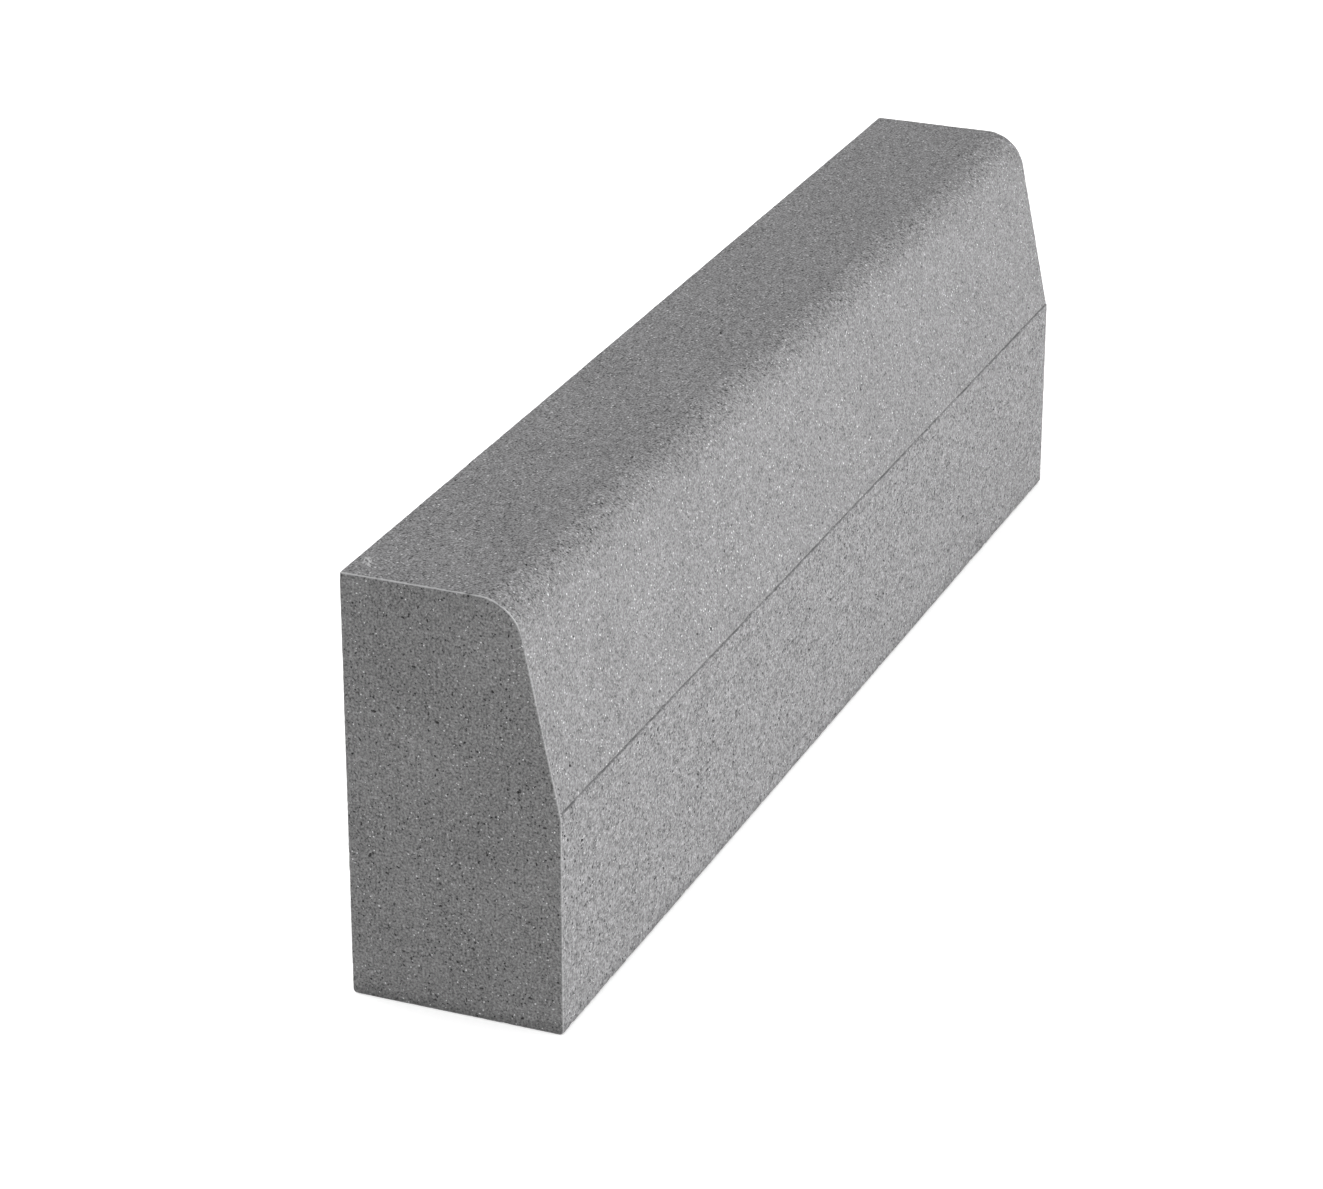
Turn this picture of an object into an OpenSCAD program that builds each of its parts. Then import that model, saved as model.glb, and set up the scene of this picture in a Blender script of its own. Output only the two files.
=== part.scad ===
// Battered road kerb: one solid block of pressed concrete.
// X runs along the road, Y from the road face (-Y) to the back (+Y), Z up from the bed.
// The origin is the middle of the bed face.

/* [Overall size] */
// Length of the stone along the road
length = 1000; // [300:10:1500]
// Height from the bed to the top
height = 300; // [220:5:400]
// Width of the bed, from the back face to the lower road face
base_w = 150; // [100:5:250]

/* [Road face] */
// Height of the battered band, from its foot to the top
batter_h = 142; // [80:1:180]
// How far the batter leans back between its foot and the top
batter_setback = 30; // [10:1:40]
// Radius of the nose, where the batter turns into the top
nose_r = 30; // [10:1:40]

/* [Mould line] */
// Step at the batter's foot: the lower face stands proud of it by this much
line_step = 0.6; // [0.2:0.1:2]
// Height of the fine groove that runs along the step
line_w = 1.2; // [0.6:0.1:4]
// Depth of that groove, measured in from the batter's foot
line_d = 0.8; // [0.3:0.1:3]

/* [Arrises] */
// Radius of the back top edge
back_r = 3; // [2:0.5:8]
// Radius of the two bed edges
bed_r = 3; // [2:0.5:8]
// Bevel around both end faces
end_bevel = 1.2; // [0.5:0.1:1.7]

/* [Hidden] */
$fn = 96;
cut_over = 0.2; // how far a cutter runs past what it cuts, less than any round's radius inside its bevel

back_y = base_w / 2;
face_y = -base_w / 2;
nose_y = face_y + batter_setback;
foot_y = face_y + line_step;
foot_z = height - batter_h;

// Section, anticlockwise from the back top edge. Each corner is [y, z, radius]. The sharp corner
// between NOSE and LEDGE is the batter's foot, where the step is too small to bevel.
TOP_BACK = 0;
NOSE = 1;
LEDGE = 3;
BED_FRONT = 4;
BED_BACK = 5;
corners = [
    [back_y, height, back_r],
    [nose_y, height, nose_r],
    [foot_y, foot_z, 0],
    [face_y, foot_z, 0],
    [face_y, 0, bed_r],
    [back_y, 0, bed_r]
];

function corner(i) = corners[i % len(corners)];
function point(i) = [corner(i)[0], corner(i)[1]];
function direction(a, b) = (b - a) / norm(b - a);
function back_along(i) = direction(point(i), point(i + len(corners) - 1));
function on_along(i) = direction(point(i), point(i + 1));

// A round of radius r at corner i: half the corner's angle, the centre, and the two tangent points.
function half_angle(i) = acos(back_along(i) * on_along(i)) / 2;
function inward(i) = direction([0, 0], back_along(i) + on_along(i));
function round_centre(i) = point(i) + inward(i) * corner(i)[2] / sin(half_angle(i));
function round_ends(i) =
    let (run = corner(i)[2] / tan(half_angle(i)))
    run == 0 ? [point(i)] : [point(i) + back_along(i) * run, point(i) + on_along(i) * run];

// Turns a shape drawn in the section's plane, so that its own Z lies along X.
module upright() {
    rotate([90, 0, 90]) children();
}

// Polygon through the tangent points, with a full disc in each round.
module section() {
    polygon([for (i = [0:len(corners) - 1]) each round_ends(i)]);
    for (i = [0:len(corners) - 1])
        if (corner(i)[2] > 0)
            translate(round_centre(i)) circle(r = corner(i)[2]);
}

// Groove at the batter's foot, the trace of a joint in the mould. It opens outwards.
module mould_line() {
    outside_y = face_y - cut_over;
    flare = line_w / 4;
    upright()
        linear_extrude(height = length + 2 * cut_over, center = true)
            polygon([
                [outside_y, foot_z],
                [foot_y + line_d, foot_z],
                [foot_y + line_d, foot_z + line_w - 2 * flare],
                [foot_y, foot_z + line_w - flare],
                [outside_y, foot_z + line_w]
            ]);
}

// What a bevel takes off, seen along the edge: x runs out of the end face, y out of the side.
module bevel_section() {
    polygon([
        [-end_bevel - cut_over, cut_over],
        [cut_over, -end_bevel - cut_over],
        [cut_over, cut_over]
    ]);
}

// Bevel along the straight edge from corner i to the next, at the +X end.
module edge_bevel(i) {
    along = on_along(i);
    start = point(i) - along * end_bevel;
    translate([length / 2, start[0], start[1]])
        rotate([atan2(-along[0], along[1]), 0, 0])
            linear_extrude(height = norm(point(i + 1) - point(i)) + 2 * end_bevel)
                bevel_section();
}

// Bevel around the round of corner i, at the +X end.
module round_bevel(i) {
    out = -back_along(i);
    translate([length / 2, round_centre(i)[0], round_centre(i)[1]])
        upright()
            rotate([0, 0, atan2(-out[0], out[1])])
                rotate_extrude(angle = 180 - 2 * half_angle(i))
                    translate([corner(i)[2], 0])
                        rotate([0, 0, 90]) mirror([0, 1, 0]) bevel_section();
}

module end_bevels() {
    for (i = [TOP_BACK, NOSE, LEDGE, BED_FRONT, BED_BACK])
        edge_bevel(i);
    for (i = [TOP_BACK, NOSE, BED_FRONT, BED_BACK])
        round_bevel(i);
}

module kerb_stone() {
    color([0.52, 0.52, 0.53])
        difference() {
            upright()
                linear_extrude(height = length, center = true) section();
            mould_line();
            end_bevels();
            mirror([1, 0, 0]) end_bevels();
        }
}

kerb_stone();
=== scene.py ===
import math
import random

import bmesh
import bpy
from mathutils import Euler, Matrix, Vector, noise


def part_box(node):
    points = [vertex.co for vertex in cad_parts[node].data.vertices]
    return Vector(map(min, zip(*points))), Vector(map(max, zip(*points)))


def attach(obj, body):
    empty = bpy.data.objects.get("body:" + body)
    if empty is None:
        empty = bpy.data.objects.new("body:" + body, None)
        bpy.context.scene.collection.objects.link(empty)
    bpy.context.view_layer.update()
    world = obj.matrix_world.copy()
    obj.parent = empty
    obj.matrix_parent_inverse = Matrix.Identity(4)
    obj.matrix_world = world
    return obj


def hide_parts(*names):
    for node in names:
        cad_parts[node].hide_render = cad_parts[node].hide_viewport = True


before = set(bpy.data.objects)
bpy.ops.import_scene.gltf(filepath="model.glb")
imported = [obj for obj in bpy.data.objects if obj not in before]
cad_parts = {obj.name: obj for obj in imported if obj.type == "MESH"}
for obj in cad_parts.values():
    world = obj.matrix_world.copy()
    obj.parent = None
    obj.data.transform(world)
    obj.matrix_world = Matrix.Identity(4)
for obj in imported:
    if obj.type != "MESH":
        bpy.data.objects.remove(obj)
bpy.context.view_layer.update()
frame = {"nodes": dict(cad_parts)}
print("frame loaded:", ", ".join(frame["nodes"]))

kerbStone = {
    "seed": 24,
    "batterHeight": 0.142,  # from the batter's foot to the top
    "batterSetback": 0.030,
    "noseRadius": 0.030,
    "noseSteps": 14,
    "noseEnds": (0.8, 0.815),  # how far the nose runs down and in, as shares of its radius
    "backRadius": 0.0012,
    "bedRadius": 0.003,
    "roundSteps": 3,
    "endArris": 0.0008,  # rounding of the edges round both ends
    "arrisSteps": 2,
    "arrisMargin": 0.0009,  # narrow strip beside an arris, which its wear fades over
    "lineStep": 0.0006,  # how far the lower face stands proud at the batter's foot
    "lineHeight": 0.0010,
    "lineDepth": 0.0007,
    "lineMargin": 0.0002,  # strip at the line's top that isn't sunk to its full depth
    "lineSlack": 0.0003,  # places up to this much deeper are still painted as the line
    "footCuts": (-0.0025, -0.0008, 0.0002),  # cuts beside the line, from the batter's foot
    "lineTopCuts": (-0.0004, 0.0, 0.0020),  # and from the line's top
    "cell": 0.0055,  # spacing of the cuts that divide every face
    "cellLeast": 0.0003,  # a cut this near to an older one joins it
    "arrisCell": 0.0026,  # an arris is cut finer than the faces, to pieces under this
    "sharpAngle": 17,  # faces that meet at more than this many degrees make an arris
    "smoothAngle": 38,  # and up to this many degrees they shade as one
    "wearDepth": 0.00035,  # most that ordinary wear takes off an arris
    "wearLeast": 0.15,  # least, as a share of that
    "wearScales": (45, 260),  # per metre, broad and fine
    "wearShift": (3, 1, 7),  # keeps the fine wear from echoing the broad
    "nicks": 90,
    "nickRadius": (0.0015, 0.0042),
    "nickDepth": (0.0004, 0.0012),
    "footChip": (0.0030, 0.0011),  # radius and depth, at the near end of the mould line
    "paleReach": 0.0022,  # the pale arris colour, partly wear and partly painted highlight, stops this far in from an end's arris
    "dimmedWearAndHighlight": 0.4,  # arris value past there, too low to show
}

airHoles = {
    "seed": 71,
    "perSquareMetre": {"pressed": 800, "cast": 6000, "end": 2700, "bed": 900},
    "radii": (0.0006, 0.0008, 0.0011, 0.0014),
    "shares": (3, 4, 3, 1),  # how common each radius is
    "depth": 1.3,  # as a share of the radius
    "wall": 0.3,  # run of the wall, as a share of the radius
    "stretch": 0.60,  # how far from round
    "rim": 0.0010,  # plain border first kept round each hole
    "gap": 0.0004,  # least room between a hole and its neighbours
    "ragged": (0.88, 1.12),  # how far a rim's corners stray, as shares of the radius
    "wander": 0.7,  # how far a hole strays in the room it has
    "crowding": 0.75,  # how unevenly the holes are spread
    "crowdScale": 22,  # per metre
}

finishes = ["pressed", "cast", "end", "bed"]  # the mesh's material slots, in order
facing = 0.7  # a face belongs to the side that its normal points to by more than this
square = 0.9999  # and is square to it by more than this
hair = 0.0001  # shorter lengths count as nothing
same = 1e-5  # places closer than this are the same


def sectionPlaces(shape):
    low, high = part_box("kerb_stone")
    places = {"low": low, "high": high}
    places["footZ"] = high.z - shape["batterHeight"]
    places["noseY"] = low.y + shape["batterSetback"]
    return places


def blockFromSection(shape, places):
    low, high = places["low"], places["high"]
    corners = [
        (high.y, low.z),
        (low.y, low.z),
        (low.y, places["footZ"]),
        (places["noseY"], high.z),
        (high.y, high.z),
    ]
    stone = bmesh.new()
    face = stone.faces.new([stone.verts.new((low.x, y, z)) for y, z in corners])
    run = bmesh.ops.extrude_face_region(stone, geom=[face], use_keep_orig=True)
    moved = [part for part in run["geom"] if isinstance(part, bmesh.types.BMVert)]
    bmesh.ops.translate(stone, verts=moved, vec=(high.x - low.x, 0, 0))
    bmesh.ops.recalc_face_normals(stone, faces=stone.faces)
    return stone


def longEdgesAt(stone, y, z):
    found = []
    for edge in stone.edges:
        middle = (edge.verts[0].co + edge.verts[1].co) / 2
        if abs(middle.x) < same and abs(middle.y - y) < same and abs(middle.z - z) < same:
            found.append(edge)
    return found


def roundEdges(stone, edges, offset, steps):
    bmesh.ops.bevel(stone, geom=edges, offset=offset, offset_type="OFFSET", affect="EDGES",
                    segments=steps, profile=0.5, material=-1, clamp_overlap=False)


def roundLongEdges(stone, shape, places):
    low, high = places["low"], places["high"]
    lean = math.atan2(shape["batterSetback"], shape["batterHeight"])
    noseRun = shape["noseRadius"] / math.tan((math.pi / 2 + lean) / 2)
    roundEdges(stone, longEdgesAt(stone, places["noseY"], high.z), noseRun, shape["noseSteps"])
    roundEdges(stone, longEdgesAt(stone, high.y, high.z), shape["backRadius"], shape["roundSteps"])
    for y in (low.y, high.y):
        roundEdges(stone, longEdgesAt(stone, y, low.z), shape["bedRadius"], shape["roundSteps"])


def isEndFace(face, places):
    x = face.calc_center_median().x
    atEnd = min(abs(x - places["low"].x), abs(x - places["high"].x)) < same
    return atEnd and abs(face.normal.x) > square


def endFaces(stone, places):
    return [face for face in stone.faces if isEndFace(face, places)]


def roundEndArrises(stone, shape, places):
    edges = {edge for face in endFaces(stone, places) for edge in face.edges}
    roundEdges(stone, list(edges), shape["endArris"], shape["arrisSteps"])
    bmesh.ops.inset_region(stone, faces=endFaces(stone, places), thickness=shape["arrisMargin"],
                           use_even_offset=True, use_boundary=True)


def steps(start, stop, size):
    count = max(1, round((stop - start) / size))
    return [start + (stop - start) * i / count for i in range(1, count)]


def cutAcross(stone, shape, axis, places, keep=None):
    normal = [0, 0, 0]
    normal[axis] = 1
    for place in places:
        point = [0, 0, 0]
        point[axis] = place
        faces = [f for f in stone.faces if keep is None or keep(f.calc_center_median())]
        edges = {edge for face in faces for edge in face.edges}
        verts = {vert for face in faces for vert in face.verts}
        bmesh.ops.bisect_plane(stone, geom=list(verts) + list(edges) + faces,
                               dist=shape["cellLeast"], plane_co=point, plane_no=normal)


def divideFaces(stone, shape, places):
    low, high = places["low"], places["high"]
    cell = shape["cell"]
    edge = shape["endArris"] + shape["arrisMargin"]
    noseDown, noseIn = shape["noseEnds"]
    noseZ = high.z - shape["noseRadius"] * noseDown
    topY = places["noseY"] + shape["noseRadius"] * noseIn
    footZ = places["footZ"]
    lineTop = footZ + shape["lineHeight"]
    linePlaces = [footZ + away for away in shape["footCuts"]]
    linePlaces += [lineTop + away for away in shape["lineTopCuts"]]
    bedStrip = low.z + shape["bedRadius"] + shape["arrisMargin"]
    backStrip = high.y - shape["backRadius"] - shape["arrisMargin"]
    below = [bedStrip] + steps(bedStrip, linePlaces[0], cell)
    above = steps(linePlaces[-1], noseZ, cell)
    upright = [backStrip] + steps(topY, backStrip, cell)
    fromBed = steps(low.y + shape["bedRadius"], topY, cell) + [topY]
    alongX = [low.x + edge, high.x - edge] + steps(low.x + edge, high.x - edge, cell)
    cutAcross(stone, shape, 2, below + linePlaces + above)
    # the nose is already fine enough, so these leave it alone
    cutAcross(stone, shape, 2, steps(noseZ, high.z, cell),
              lambda c: c.y > topY or abs(c.x) > high.x - hair)
    cutAcross(stone, shape, 1, upright)
    cutAcross(stone, shape, 1, fromBed,
              lambda c: c.z < low.z + shape["bedRadius"] / 3 or abs(c.x) > high.x - hair)
    cutAcross(stone, shape, 0, alongX)


def sinkMouldLine(stone, shape, places):
    inside = places["low"].y + (shape["lineStep"] + shape["lineDepth"])
    for vert in stone.verts:
        rise = vert.co.z - places["footZ"]
        if vert.co.y > places["noseY"] or rise < hair:
            continue
        vert.co.y += shape["lineStep"] * max(0, 1 - rise / shape["batterHeight"])
        if rise < shape["lineHeight"] - shape["lineMargin"]:
            vert.co.y = max(vert.co.y, inside)


def steepness(vert):
    normals = [face.normal for face in vert.link_faces]
    return max((a.angle(b, 0) for a in normals for b in normals), default=0)


def markArrises(stone, shape):
    limit = math.radians(shape["sharpAngle"])
    layer = stone.verts.layers.float.new("arris")
    for vert in stone.verts:
        vert[layer] = 1.0 if steepness(vert) > limit else 0.0
    along = [edge for edge in stone.edges
             if min(vert[layer] for vert in edge.verts) == 1.0 and edge.calc_length() > shape["arrisCell"]]
    bmesh.ops.subdivide_edges(stone, edges=along, cuts=2, use_grid_fill=True)
    stone.normal_update()
    return layer


def takeNick(worn, loss, middle, radius, depth):
    for vert in worn:
        away = (vert.co - middle).length / radius
        if away < 1:
            loss[vert] = max(loss[vert], depth * (1 - away * away))


def wearArrises(stone, shape, places, layer):
    dice = random.Random(shape["seed"])
    worn = [vert for vert in stone.verts if vert[layer] > 0.5]
    least = shape["wearLeast"]
    broadScale, fineScale = shape["wearScales"]
    loss = {}
    for vert in worn:
        broad = noise.noise(vert.co * broadScale) * 0.5 + 0.5
        fine = noise.noise(vert.co * fineScale + Vector(shape["wearShift"])) * 0.5 + 0.5
        loss[vert] = shape["wearDepth"] * (least + (1 - least) * broad * fine * 2)
    worn.sort(key=lambda vert: tuple(round(part, 5) for part in vert.co))
    for nick in range(shape["nicks"]):
        middle = dice.choice(worn).co.copy()
        takeNick(worn, loss, middle, dice.uniform(*shape["nickRadius"]), dice.uniform(*shape["nickDepth"]))
    low = places["low"]
    takeNick(worn, loss, Vector((low.x, low.y, places["footZ"])), *shape["footChip"])
    for vert in worn:
        vert.co -= vert.normal * loss[vert]


def finishOf(face, places):
    middle, normal = face.calc_center_median(), face.normal
    if normal.z < -facing:
        return finishes.index("bed")
    if abs(normal.x) > facing:
        return finishes.index("end")
    if normal.z > facing or (normal.y < 0 and middle.z > places["footZ"]):
        return finishes.index("pressed")
    return finishes.index("cast")


def chooseHoleFaces(stone, holes, layer):
    dice = random.Random(holes["seed"])
    chosen = {radius: [] for radius in holes["radii"]}
    roomy = [face for face in stone.faces
             if len(face.verts) == 4 and max(vert[layer] for vert in face.verts) == 0.0]
    roomy.sort(key=lambda face: tuple(round(part, 5) for part in face.calc_center_median()))
    for face in roomy:
        patch = noise.noise(face.calc_center_median() * holes["crowdScale"])
        crowding = 1 + holes["crowding"] * patch * 2
        chance = holes["perSquareMetre"][finishes[face.material_index]] * face.calc_area() * crowding
        radius = dice.choices(holes["radii"], holes["shares"])[0]
        short = min(edge.calc_length() for edge in face.edges)
        if dice.random() < chance and short > 2 * (radius + holes["rim"]):
            chosen[radius].append(face)
    return chosen, dice


# Pulls a face's corners onto a ragged oval, somewhere in the room that its cell leaves.
def roundOff(face, radius, holes, dice):
    middle = face.calc_center_median()
    first = (face.verts[0].co - middle).normalized()
    side = face.normal.cross(first)
    turn, squeeze = dice.uniform(0, math.pi), dice.uniform(0, holes["stretch"])
    raggedLow, raggedHigh = holes["ragged"]
    halfCell = min(edge.calc_length() for edge in face.edges) + holes["rim"]
    room = max(0, halfCell - radius * (1 + squeeze) * raggedHigh - holes["gap"])
    alongFirst = first * dice.uniform(-holes["wander"], holes["wander"]) * room
    alongSide = side * dice.uniform(-holes["wander"], holes["wander"]) * room
    for vert in face.verts:
        place = vert.co - middle
        angle = math.atan2(place.dot(side), place.dot(first))
        oval = 1 + squeeze * math.cos(2 * (angle - turn))
        reach = radius * oval * dice.uniform(raggedLow, raggedHigh)
        outward = first * math.cos(angle) + side * math.sin(angle)
        vert.co = middle + (alongFirst + alongSide) + outward * reach


def sinkAirHoles(stone, holes, layer):
    chosen, dice = chooseHoleFaces(stone, holes, layer)
    count = 0
    for radius, faces in chosen.items():
        bmesh.ops.inset_individual(stone, faces=faces, thickness=holes["rim"], use_even_offset=True)
        edges = {edge for face in faces for edge in face.edges}
        bmesh.ops.subdivide_edges(stone, edges=list(edges), cuts=1)
        for face in faces:
            roundOff(face, radius, holes, dice)
        bmesh.ops.inset_individual(stone, faces=faces, thickness=radius * holes["wall"],
                                   depth=-radius * holes["depth"], use_even_offset=False)
        count += len(faces)
    return count


def markLine(stone, shape, places):
    layer = stone.verts.layers.float.new("mouldLine")
    limit = places["low"].y + shape["lineStep"] + shape["lineDepth"] + shape["lineSlack"]
    for vert in stone.verts:
        rise = vert.co.z - places["footZ"]
        level = -hair < rise < shape["lineHeight"] - shape["lineMargin"]
        vert[layer] = 1.0 if level and vert.co.y < limit else 0.0


# Only the arrises round the ends are painted pale, partly as wear and partly as painted highlight, so the
# long ones fall below what shows.
def markPale(stone, shape, places, arris):
    limit = places["high"].x - shape["endArris"] - shape["paleReach"]
    for vert in stone.verts:
        if abs(vert.co.x) < limit:
            vert[arris] *= shape["dimmedWearAndHighlight"]


def markTop(stone):
    layer = stone.verts.layers.float.new("upward")
    for vert in stone.verts:
        vert[layer] = max(0.0, vert.normal.z)


def buildStone(shape, holes):
    places = sectionPlaces(shape)
    stone = blockFromSection(shape, places)
    roundLongEdges(stone, shape, places)
    roundEndArrises(stone, shape, places)
    print("block shaped:", len(stone.faces), "faces")
    divideFaces(stone, shape, places)
    sinkMouldLine(stone, shape, places)
    stone.normal_update()
    print("faces divided:", len(stone.faces), "faces")
    arris = markArrises(stone, shape)
    wearArrises(stone, shape, places, arris)
    markLine(stone, shape, places)
    markPale(stone, shape, places, arris)
    stone.normal_update()
    markTop(stone)
    for face in stone.faces:
        face.material_index = finishOf(face, places)
    print("air holes sunk:", sinkAirHoles(stone, holes, arris))
    return stone


def stonePiece(stone, shape):
    mesh = bpy.data.meshes.new("kerbStone")
    stone.to_mesh(mesh)
    mesh.shade_smooth()
    mesh.set_sharp_from_angle(angle=math.radians(shape["smoothAngle"]))
    piece = bpy.data.objects.new("kerbStone", mesh)
    bpy.context.scene.collection.objects.link(piece)
    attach(piece, "root")
    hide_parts("kerb_stone")
    return piece


stone = buildStone(kerbStone, airHoles)
kerb = stonePiece(stone, kerbStone)
openEdges = sum(1 for edge in stone.edges if len(edge.link_faces) != 2)
print("stone:", sum(len(face.verts) - 2 for face in stone.faces), "triangles,", openEdges, "open edges")
stone.free()

concrete = {
    "pressed": {
        "tone": (0.1990, 0.1980, 0.2010), "relief": 0.00020, "grain": 0.52, "curls": 0.41, "clouds": 0.045,
        "pores": 0.22, "poreRadius": 0.23, "specks": 0.34, "speckRadius": 0.28,
    },
    "cast": {
        "tone": (0.1985, 0.1975, 0.2005), "relief": 0.00018, "grain": 0.60, "curls": 0.38, "clouds": 0.012,
        "pores": 1.00, "poreRadius": 0.32, "specks": 0.42, "speckRadius": 0.25,
    },
    "end": {
        # painted shade: the end's tone is set darker than the long faces', for the lesser light that falls
        # on the ends
        "tone": (0.1725, 0.1720, 0.1725), "relief": 0.00028, "grain": 0.62, "curls": 0.42, "clouds": 0.115,
        "pores": 0.34, "poreRadius": 0.23, "specks": 0.20, "speckRadius": 0.22,
    },
    "bed": {
        "tone": (0.1850, 0.1840, 0.1850), "relief": 0.00030, "grain": 0.60, "curls": 0.30, "clouds": 0.045,
        "pores": 0.70, "poreRadius": 0.30, "specks": 0.30, "speckRadius": 0.22,
    },
}

concreteDetail = {
    "grainScale": 620,  # per metre
    "clusterScale": 190,
    "clusterShade": 0.1,  # how much a cluster shows, against a grain's 1
    "clusterRelief": 0.15,
    "cloudScale": 14,
    "curlScale": 280,
    "curlWidth": 0.048,
    "topGrain": 1.38,  # how much stronger the grain reads on the top than on the upright faces
    "poreScale": 240,
    "speckScale": 330,
    # painted shade: pores are painted near black for the shade inside small air holes
    "poreShadeTone": (0.022, 0.022, 0.023),
    "speckTone": (0.70, 0.70, 0.71),
    # pale colour of the scuff and the arrises; on the arrises it is partly wear, partly painted highlight
    "wornAndHighlightTone": (0.50, 0.50, 0.505),
    # the mould line's dark colour: partly grime, partly painted shade in its groove
    "lineGrimeAndShadeTone": (0.125, 0.125, 0.127),
    "poreCover": 0.92,  # how fully each of these hides the paste
    "speckCover": 0.8,
    "wornAndHighlightCover": 0.75,
    "spotWarp": 0.0012,  # metres by which pores and specks are pulled out of round
    "spotWarpScale": 420,
    "spotCrowdScale": 38,
    "spotCrowding": (0.60, 1.35),  # share of spots where they are sparse and where they crowd
    "spotLeast": 0.45,  # smallest spot, as a share of the largest
    "spotCore": 0.65,  # where a spot starts to fade, as a share of its radius
    "wearScale": 90,
    "wearPatches": 0.25,  # least of the pale arris colour, partly wear and partly painted highlight, between its patches
    "uprightHighlightLeast": 0.45,  # painted highlight: and on the upright arrises, which take less of it than the upward ones lit from above
    "lineScale": 110,
    "lineBreaks": 0.15,  # least of the line's colour where it breaks up
    "roughness": (0.96, 0.8),  # in the grain's hollows and on its heights
    "specular": 0.25,
    "footHeight": 0.011,  # painted shade: the stone's colour darkens over this height above its bed, where it stands on the floor
    "paintedFootShade": 0.72,
    "footScale": 60,
    "scuff": {  # pale scrape on the top, beside the near end's back corner
        "middle": (-0.479, 0.0645, 0.300),
        "turn": 0.70,  # radians from the stone's length
        "reach": (0.013, 0.006, 0.003),
        "streaks": 3.0,
        "amount": 0.85,
    },
}


def shaderGroup(name, inputs, outputs):
    group = bpy.data.node_groups.new(name, "ShaderNodeTree")
    for label, kind, value in inputs:
        socket = group.interface.new_socket(label, in_out="INPUT", socket_type=kind)
        if value is not None:
            socket.default_value = value
    for label, kind in outputs:
        group.interface.new_socket(label, in_out="OUTPUT", socket_type=kind)
    return group, group.nodes.new("NodeGroupInput").outputs, group.nodes.new("NodeGroupOutput").inputs


def link(tree, start, end):
    tree.links.new(start, end)


def mathNode(tree, kind, first, second=0.0, third=0.0):
    node = tree.nodes.new("ShaderNodeMath")
    node.operation = kind
    for socket, value in zip(node.inputs, (first, second, third)):
        if isinstance(value, (int, float)):
            socket.default_value = value
        else:
            link(tree, value, socket)
    return node.outputs[0]


def rangeNode(tree, value, fromLow, fromHigh, toLow=0.0, toHigh=1.0, smooth=True):
    node = tree.nodes.new("ShaderNodeMapRange")
    node.interpolation_type = "SMOOTHSTEP" if smooth else "LINEAR"
    for label, part in (("Value", value), ("From Min", fromLow), ("From Max", fromHigh),
                        ("To Min", toLow), ("To Max", toHigh)):
        if isinstance(part, (int, float)):
            node.inputs[label].default_value = part
        else:
            link(tree, part, node.inputs[label])
    return node.outputs["Result"]


def noiseNode(tree, vector, scale, detail, roughness=0.55):
    node = tree.nodes.new("ShaderNodeTexNoise")
    node.inputs["Scale"].default_value = scale
    node.inputs["Detail"].default_value = detail
    node.inputs["Roughness"].default_value = roughness
    link(tree, vector, node.inputs["Vector"])
    return node.outputs["Fac"]


def mixNode(tree, kind, factor, first, second):
    node = tree.nodes.new("ShaderNodeMix")
    node.data_type, node.blend_type = "RGBA", kind
    for index, value in ((0, factor), (6, first), (7, second)):
        if isinstance(value, tuple):
            node.inputs[index].default_value = value + (1.0,)
        elif isinstance(value, (int, float)):
            node.inputs[index].default_value = value
        else:
            link(tree, value, node.inputs[index])
    return node.outputs[2]


def grainGroup(detail):
    group, given, out = shaderGroup(
        "concreteGrain", [("Vector", "NodeSocketVector", None)],
        [("Shade", "NodeSocketFloat"), ("Curl", "NodeSocketFloat"), ("Cloud", "NodeSocketFloat"),
         ("Height", "NodeSocketFloat")])
    place = given["Vector"]
    upward = group.nodes.new("ShaderNodeAttribute")
    upward.attribute_name = "upward"
    strength = rangeNode(group, upward.outputs["Fac"], 0.3, 1.0, 1.0, detail["topGrain"])
    fine = noiseNode(group, place, detail["grainScale"], 1.5, 0.6)
    cluster = noiseNode(group, place, detail["clusterScale"], 2)
    cloud = noiseNode(group, place, detail["cloudScale"], 3)
    fineShade = rangeNode(group, fine, 0.25, 0.75, -1.0, 1.0, smooth=False)
    most = detail["clusterShade"]
    clusterShade = rangeNode(group, cluster, 0.25, 0.75, -most, most, smooth=False)
    shade = mathNode(group, "ADD", fineShade, clusterShade)
    link(group, mathNode(group, "MULTIPLY", shade, strength), out["Shade"])
    link(group, rangeNode(group, cloud, 0.3, 0.7, -1.0, 1.0, smooth=False), out["Cloud"])
    # thin curling marks, some lighter and some darker than the paste round them
    curl = noiseNode(group, place, detail["curlScale"], 1)
    bend = mathNode(group, "ABSOLUTE", mathNode(group, "SUBTRACT", curl, 0.5))
    mark = rangeNode(group, bend, 0.0, detail["curlWidth"], 1.0, 0.0)
    sides = noiseNode(group, place, detail["curlScale"] * 0.7, 1)
    lightOrDark = rangeNode(group, sides, 0.4, 0.6, -1.0, 1.0)
    curls = mathNode(group, "MULTIPLY", mark, lightOrDark)
    link(group, mathNode(group, "MULTIPLY", curls, strength), out["Curl"])
    height = mathNode(group, "MULTIPLY_ADD", cluster, detail["clusterRelief"], fine)
    link(group, height, out["Height"])
    return group


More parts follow.
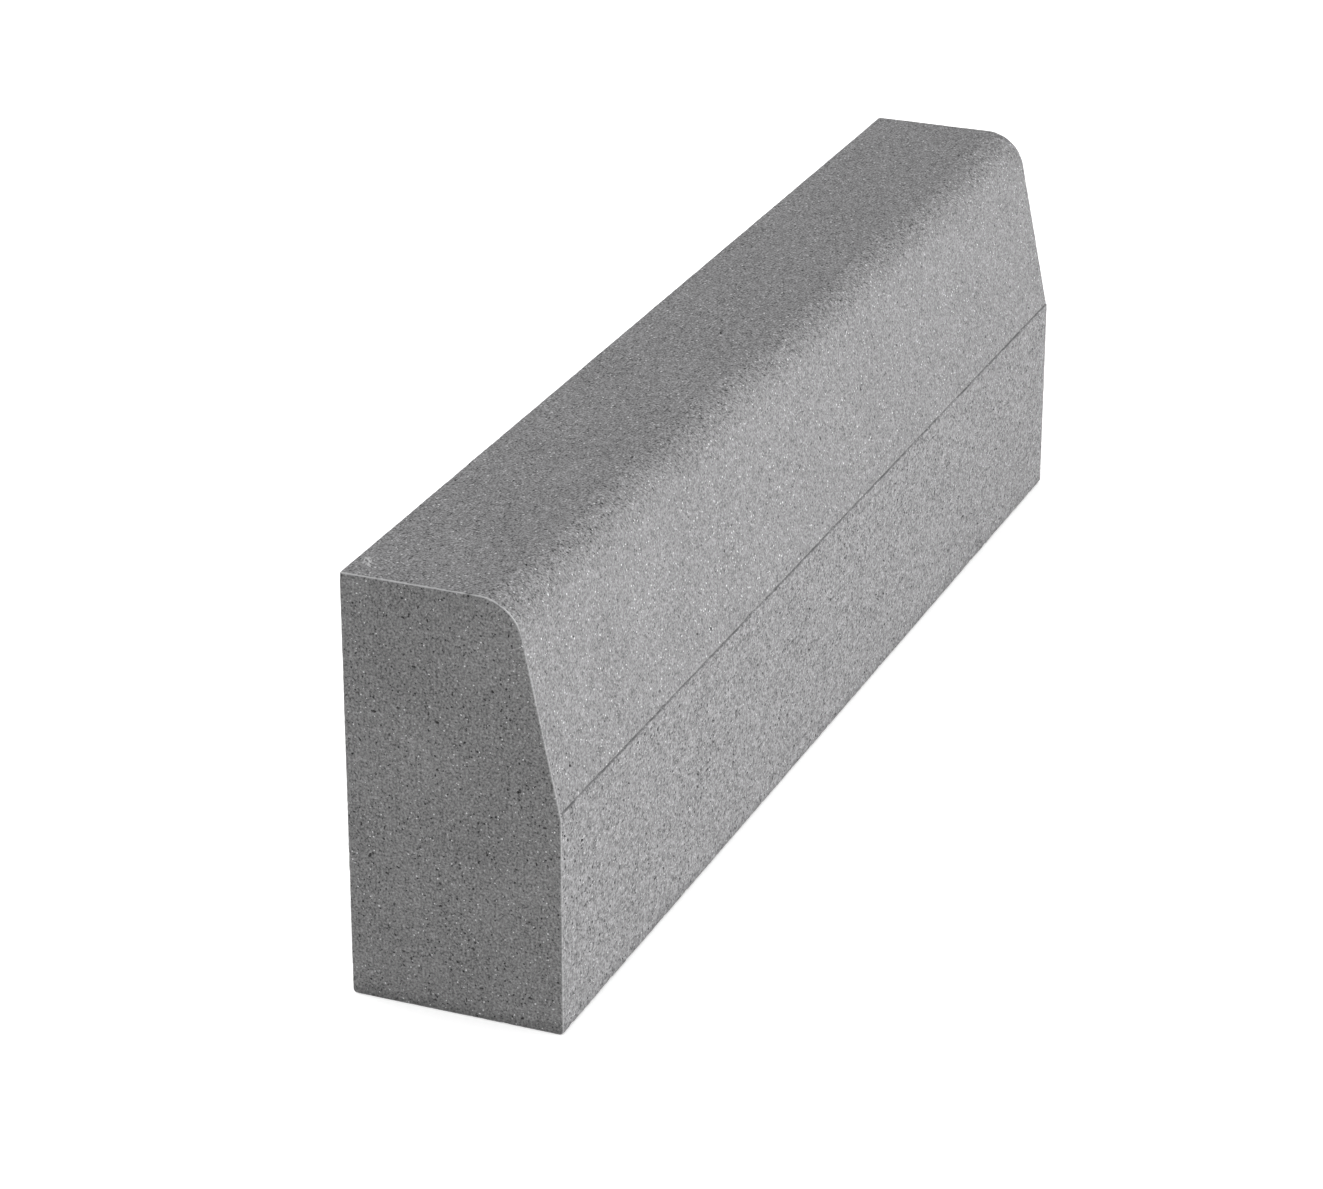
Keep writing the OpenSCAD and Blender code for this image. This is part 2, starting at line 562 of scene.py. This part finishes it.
def spotGroup(detail):
    group, given, out = shaderGroup(
        "scatteredSpots",
        [("Vector", "NodeSocketVector", None), ("Scale", "NodeSocketFloat", 300.0),
         ("Share", "NodeSocketFloat", 0.5), ("Radius", "NodeSocketFloat", 0.3)],
        [("Mask", "NodeSocketFloat")])
    pull = group.nodes.new("ShaderNodeTexNoise")
    pull.inputs["Scale"].default_value = detail["spotWarpScale"]
    pull.inputs["Detail"].default_value = 1
    link(group, given["Vector"], pull.inputs["Vector"])
    warped = group.nodes.new("ShaderNodeVectorMath")
    warped.operation = "MULTIPLY_ADD"
    link(group, pull.outputs["Color"], warped.inputs[0])
    warped.inputs[1].default_value = (detail["spotWarp"],) * 3
    link(group, given["Vector"], warped.inputs[2])
    cells = group.nodes.new("ShaderNodeTexVoronoi")
    link(group, warped.outputs["Vector"], cells.inputs["Vector"])
    link(group, given["Scale"], cells.inputs["Scale"])
    parts = group.nodes.new("ShaderNodeSeparateColor")
    link(group, cells.outputs["Color"], parts.inputs["Color"])
    crowd = noiseNode(group, given["Vector"], detail["spotCrowdScale"], 2)
    crowding = rangeNode(group, crowd, 0.35, 0.65, *detail["spotCrowding"])
    share = mathNode(group, "MULTIPLY", given["Share"], crowding)
    there = mathNode(group, "LESS_THAN", parts.outputs["Red"], share)
    size = rangeNode(group, parts.outputs["Green"], 0.0, 1.0, detail["spotLeast"], 1.0, smooth=False)
    radius = mathNode(group, "MULTIPLY", given["Radius"], size)
    core = mathNode(group, "MULTIPLY", radius, detail["spotCore"])
    spot = rangeNode(group, cells.outputs["Distance"], core, radius, 1.0, 0.0)
    link(group, mathNode(group, "MULTIPLY", spot, there), out["Mask"])
    return group


# Pale arris colour, partly wear and partly painted highlight that is stronger on upward arrises lit from
# above; also the mould line's colour.
def wearAndHighlightGroup(detail):
    group, given, out = shaderGroup("arrisWearAndHighlight", [("Vector", "NodeSocketVector", None)],
                                    [("WornAndLit", "NodeSocketFloat"), ("Line", "NodeSocketFloat")])
    arris = group.nodes.new("ShaderNodeAttribute")
    arris.attribute_name = "arris"
    line = group.nodes.new("ShaderNodeAttribute")
    line.attribute_name = "mouldLine"
    upward = group.nodes.new("ShaderNodeAttribute")
    upward.attribute_name = "upward"
    wear = noiseNode(group, given["Vector"], detail["wearScale"], 3)
    patches = rangeNode(group, wear, 0.22, 0.5, detail["wearPatches"], 1.0)
    edge = rangeNode(group, arris.outputs["Fac"], 0.7, 1.0)
    # painted highlight: upward arrises take more of the pale colour than upright ones
    litFromAbove = rangeNode(group, upward.outputs["Fac"], 0.1, 0.6, detail["uprightHighlightLeast"], 1.0)
    worn = mathNode(group, "MULTIPLY", mathNode(group, "MULTIPLY", edge, patches), litFromAbove)
    link(group, worn, out["WornAndLit"])
    # the mould line's dark colour, partly grime and partly painted shade in its groove
    gaps = noiseNode(group, given["Vector"], detail["lineScale"], 3)
    breaks = rangeNode(group, gaps, 0.3, 0.6, detail["lineBreaks"], 1.0)
    link(group, mathNode(group, "MULTIPLY", line.outputs["Fac"], breaks), out["Line"])
    return group


def scuffGroup(look):
    group, given, out = shaderGroup("paleScuff", [("Vector", "NodeSocketVector", None)],
                                    [("Mask", "NodeSocketFloat")])
    local = group.nodes.new("ShaderNodeMapping")
    local.vector_type = "TEXTURE"
    local.inputs["Location"].default_value = look["middle"]
    local.inputs["Rotation"].default_value = (0.0, 0.0, look["turn"])
    local.inputs["Scale"].default_value = look["reach"]
    link(group, given["Vector"], local.inputs["Vector"])
    away = group.nodes.new("ShaderNodeVectorMath")
    away.operation = "LENGTH"
    link(group, local.outputs["Vector"], away.inputs[0])
    inside = rangeNode(group, away.outputs["Value"], 0.35, 1.0, 1.0, 0.0)
    streaks = rangeNode(group, noiseNode(group, local.outputs["Vector"], look["streaks"], 2), 0.47, 0.57)
    mask = mathNode(group, "MULTIPLY", mathNode(group, "MULTIPLY", inside, streaks), look["amount"])
    link(group, mask, out["Mask"])
    return group


# Painted shade: darkens the stone's colour towards its bed, where it stands on the floor.
def paintedFootShadeGroup(detail):
    group, given, out = shaderGroup("paintedFootShade", [("Vector", "NodeSocketVector", None)],
                                    [("Shade", "NodeSocketFloat")])
    parts = group.nodes.new("ShaderNodeSeparateXYZ")
    link(group, given["Vector"], parts.inputs[0])
    ragged = noiseNode(group, given["Vector"], detail["footScale"], 3)
    height = mathNode(group, "MULTIPLY", ragged, detail["footHeight"] * 2)
    shade = rangeNode(group, parts.outputs["Z"], 0.0, height, detail["paintedFootShade"], 1.0)
    link(group, shade, out["Shade"])
    return group


def placedGroup(tree, group, vector, **values):
    node = tree.nodes.new("ShaderNodeGroup")
    node.node_tree = group
    link(tree, vector, node.inputs["Vector"])
    for label, value in values.items():
        node.inputs[label].default_value = value
    return node.outputs


def concreteMaterial(name, look, detail, groups):
    material = bpy.data.materials.new(name)
    material.use_nodes = True
    tree = material.node_tree
    shader = tree.nodes["Principled BSDF"]
    place = tree.nodes.new("ShaderNodeTexCoord").outputs["Object"]
    grain = placedGroup(tree, groups["grain"], place)
    pores = placedGroup(tree, groups["spots"], place, Scale=detail["poreScale"], Share=look["pores"],
                        Radius=look["poreRadius"])
    specks = placedGroup(tree, groups["spots"], place, Scale=detail["speckScale"], Share=look["specks"],
                         Radius=look["speckRadius"])
    wear = placedGroup(tree, groups["wear"], place)
    scuff = placedGroup(tree, groups["scuff"], place)
    foot = placedGroup(tree, groups["foot"], place)
    light = mathNode(tree, "MULTIPLY_ADD", grain["Shade"], look["grain"], 1.0)
    light = mathNode(tree, "MULTIPLY_ADD", grain["Curl"], look["curls"], light)
    light = mathNode(tree, "MULTIPLY_ADD", grain["Cloud"], look["clouds"], light)
    # painted shade towards the bed
    light = mathNode(tree, "MULTIPLY", light, foot["Shade"])
    poreShadeShare = mathNode(tree, "MULTIPLY", pores["Mask"], detail["poreCover"])
    speckShare = mathNode(tree, "MULTIPLY", specks["Mask"], detail["speckCover"])
    wornAndHighlightShare = mathNode(tree, "MULTIPLY", wear["WornAndLit"], detail["wornAndHighlightCover"])
    shaded = mixNode(tree, "MULTIPLY", 1.0, look["tone"], light)
    # painted shade in the pores
    poreShaded = mixNode(tree, "MIX", poreShadeShare, shaded, detail["poreShadeTone"])
    specked = mixNode(tree, "MIX", speckShare, poreShaded, detail["speckTone"])
    scuffed = mixNode(tree, "MIX", scuff["Mask"], specked, detail["wornAndHighlightTone"])
    # pale arrises: partly wear, partly painted highlight
    worn = mixNode(tree, "MIX", wornAndHighlightShare, scuffed, detail["wornAndHighlightTone"])
    # mould line: partly grime, partly painted shade in the groove
    lined = mixNode(tree, "MIX", wear["Line"], worn, detail["lineGrimeAndShadeTone"])
    link(tree, lined, shader.inputs["Base Color"])
    roughness = rangeNode(tree, grain["Height"], 0.4, 1.3, *detail["roughness"])
    link(tree, roughness, shader.inputs["Roughness"])
    shader.inputs["Specular IOR Level"].default_value = detail["specular"]
    bump = tree.nodes.new("ShaderNodeBump")
    bump.inputs["Distance"].default_value = look["relief"]
    link(tree, mathNode(tree, "SUBTRACT", grain["Height"], pores["Mask"]), bump.inputs["Height"])
    link(tree, bump.outputs["Normal"], shader.inputs["Normal"])
    return material


groups = {
    "grain": grainGroup(concreteDetail),
    "spots": spotGroup(concreteDetail),
    "wear": wearAndHighlightGroup(concreteDetail),
    "scuff": scuffGroup(concreteDetail["scuff"]),
    "foot": paintedFootShadeGroup(concreteDetail),
}
for finish in finishes:
    material = concreteMaterial(finish + "Concrete", concrete[finish], concreteDetail, groups)
    kerb.data.materials.append(material)
print("finishes made:", ", ".join(finishes))

studio = {
    "floorSize": 14.0,
    "floorTone": 0.95,
    "floorRoughness": 0.9,
    "floorSpecular": 0.1,
    "floorGlow": 0.08,  # the floor is a pale lit table, so its shadows stay faint
    "floorSeenGlow": 0.28,  # more glow for the eye alone, which lights nothing
    "skyStrength": 0.5,
    "lampAim": (0.0, 0.0, 0.15),
    "lamps": {
        "key": {"place": (0.0, -2.5, 0.35), "size": (3.0, 0.6), "power": 71},
        "overhead": {"place": (0.0, 0.0, 4.0), "size": (5.0, 5.0), "power": 67},
        "back": {"place": (0.3, 2.6, 1.4), "size": (4.0, 1.6), "power": 57},
        "fill": {"place": (-4.0, -1.0, 1.2), "size": (2.0, 2.0), "power": 15},
    },
}

camera = {
    "aim": (-0.0424, 0.0450, 0.1004),
    "distance": 3.1517,
    "azimuth": -67.69,  # degrees, as the elevation is
    "elevation": 24.07,
    "lens": 117.46,
}


def paleFloor(look):
    grid = bmesh.new()
    bmesh.ops.create_grid(grid, x_segments=4, y_segments=4, size=look["floorSize"] / 2)
    mesh = bpy.data.meshes.new("floor")
    grid.to_mesh(mesh)
    grid.free()
    material = bpy.data.materials.new("paleFloor")
    material.use_nodes = True
    tree = material.node_tree
    shader = tree.nodes["Principled BSDF"]
    shader.inputs["Base Color"].default_value = (look["floorTone"],) * 3 + (1.0,)
    shader.inputs["Roughness"].default_value = look["floorRoughness"]
    shader.inputs["Specular IOR Level"].default_value = look["floorSpecular"]
    shader.inputs["Emission Color"].default_value = (1.0, 1.0, 1.0, 1.0)
    seen = tree.nodes.new("ShaderNodeLightPath").outputs["Is Camera Ray"]
    glow = mathNode(tree, "MULTIPLY_ADD", seen, look["floorSeenGlow"], look["floorGlow"])
    link(tree, glow, shader.inputs["Emission Strength"])
    mesh.materials.append(material)
    floor = bpy.data.objects.new("floor", mesh)
    bpy.context.scene.collection.objects.link(floor)


def softLight(name, look, aim):
    data = bpy.data.lights.new(name, "AREA")
    data.shape = "RECTANGLE"
    data.size, data.size_y = look["size"]
    data.energy = look["power"]
    lamp = bpy.data.objects.new(name, data)
    lamp.location = look["place"]
    lamp.rotation_euler = (Vector(aim) - lamp.location).to_track_quat("-Z", "Y").to_euler()
    lamp.visible_camera = False
    bpy.context.scene.collection.objects.link(lamp)


def paleSky(strength):
    world = bpy.data.worlds.new("studio")
    world.use_nodes = True
    background = world.node_tree.nodes["Background"]
    background.inputs["Color"].default_value = (1.0, 1.0, 1.0, 1.0)
    background.inputs["Strength"].default_value = strength
    bpy.context.scene.world = world


def placeCamera(view):
    azimuth, elevation = math.radians(view["azimuth"]), math.radians(view["elevation"])
    level = math.cos(elevation)
    back = Vector((math.sin(azimuth) * level, -math.cos(azimuth) * level, math.sin(elevation)))
    data = bpy.data.cameras.new("camera")
    data.lens = view["lens"]
    eye = bpy.data.objects.new("camera", data)
    eye.location = Vector(view["aim"]) + back * view["distance"]
    eye.rotation_euler = Euler((math.pi / 2 - elevation, 0, azimuth))
    bpy.context.scene.collection.objects.link(eye)
    bpy.context.scene.camera = eye


paleFloor(studio)
for lampName, lampLook in studio["lamps"].items():
    softLight(lampName, lampLook, studio["lampAim"])
paleSky(studio["skyStrength"])
placeCamera(camera)
bpy.context.scene.view_settings.view_transform = "Standard"
print("studio lit")
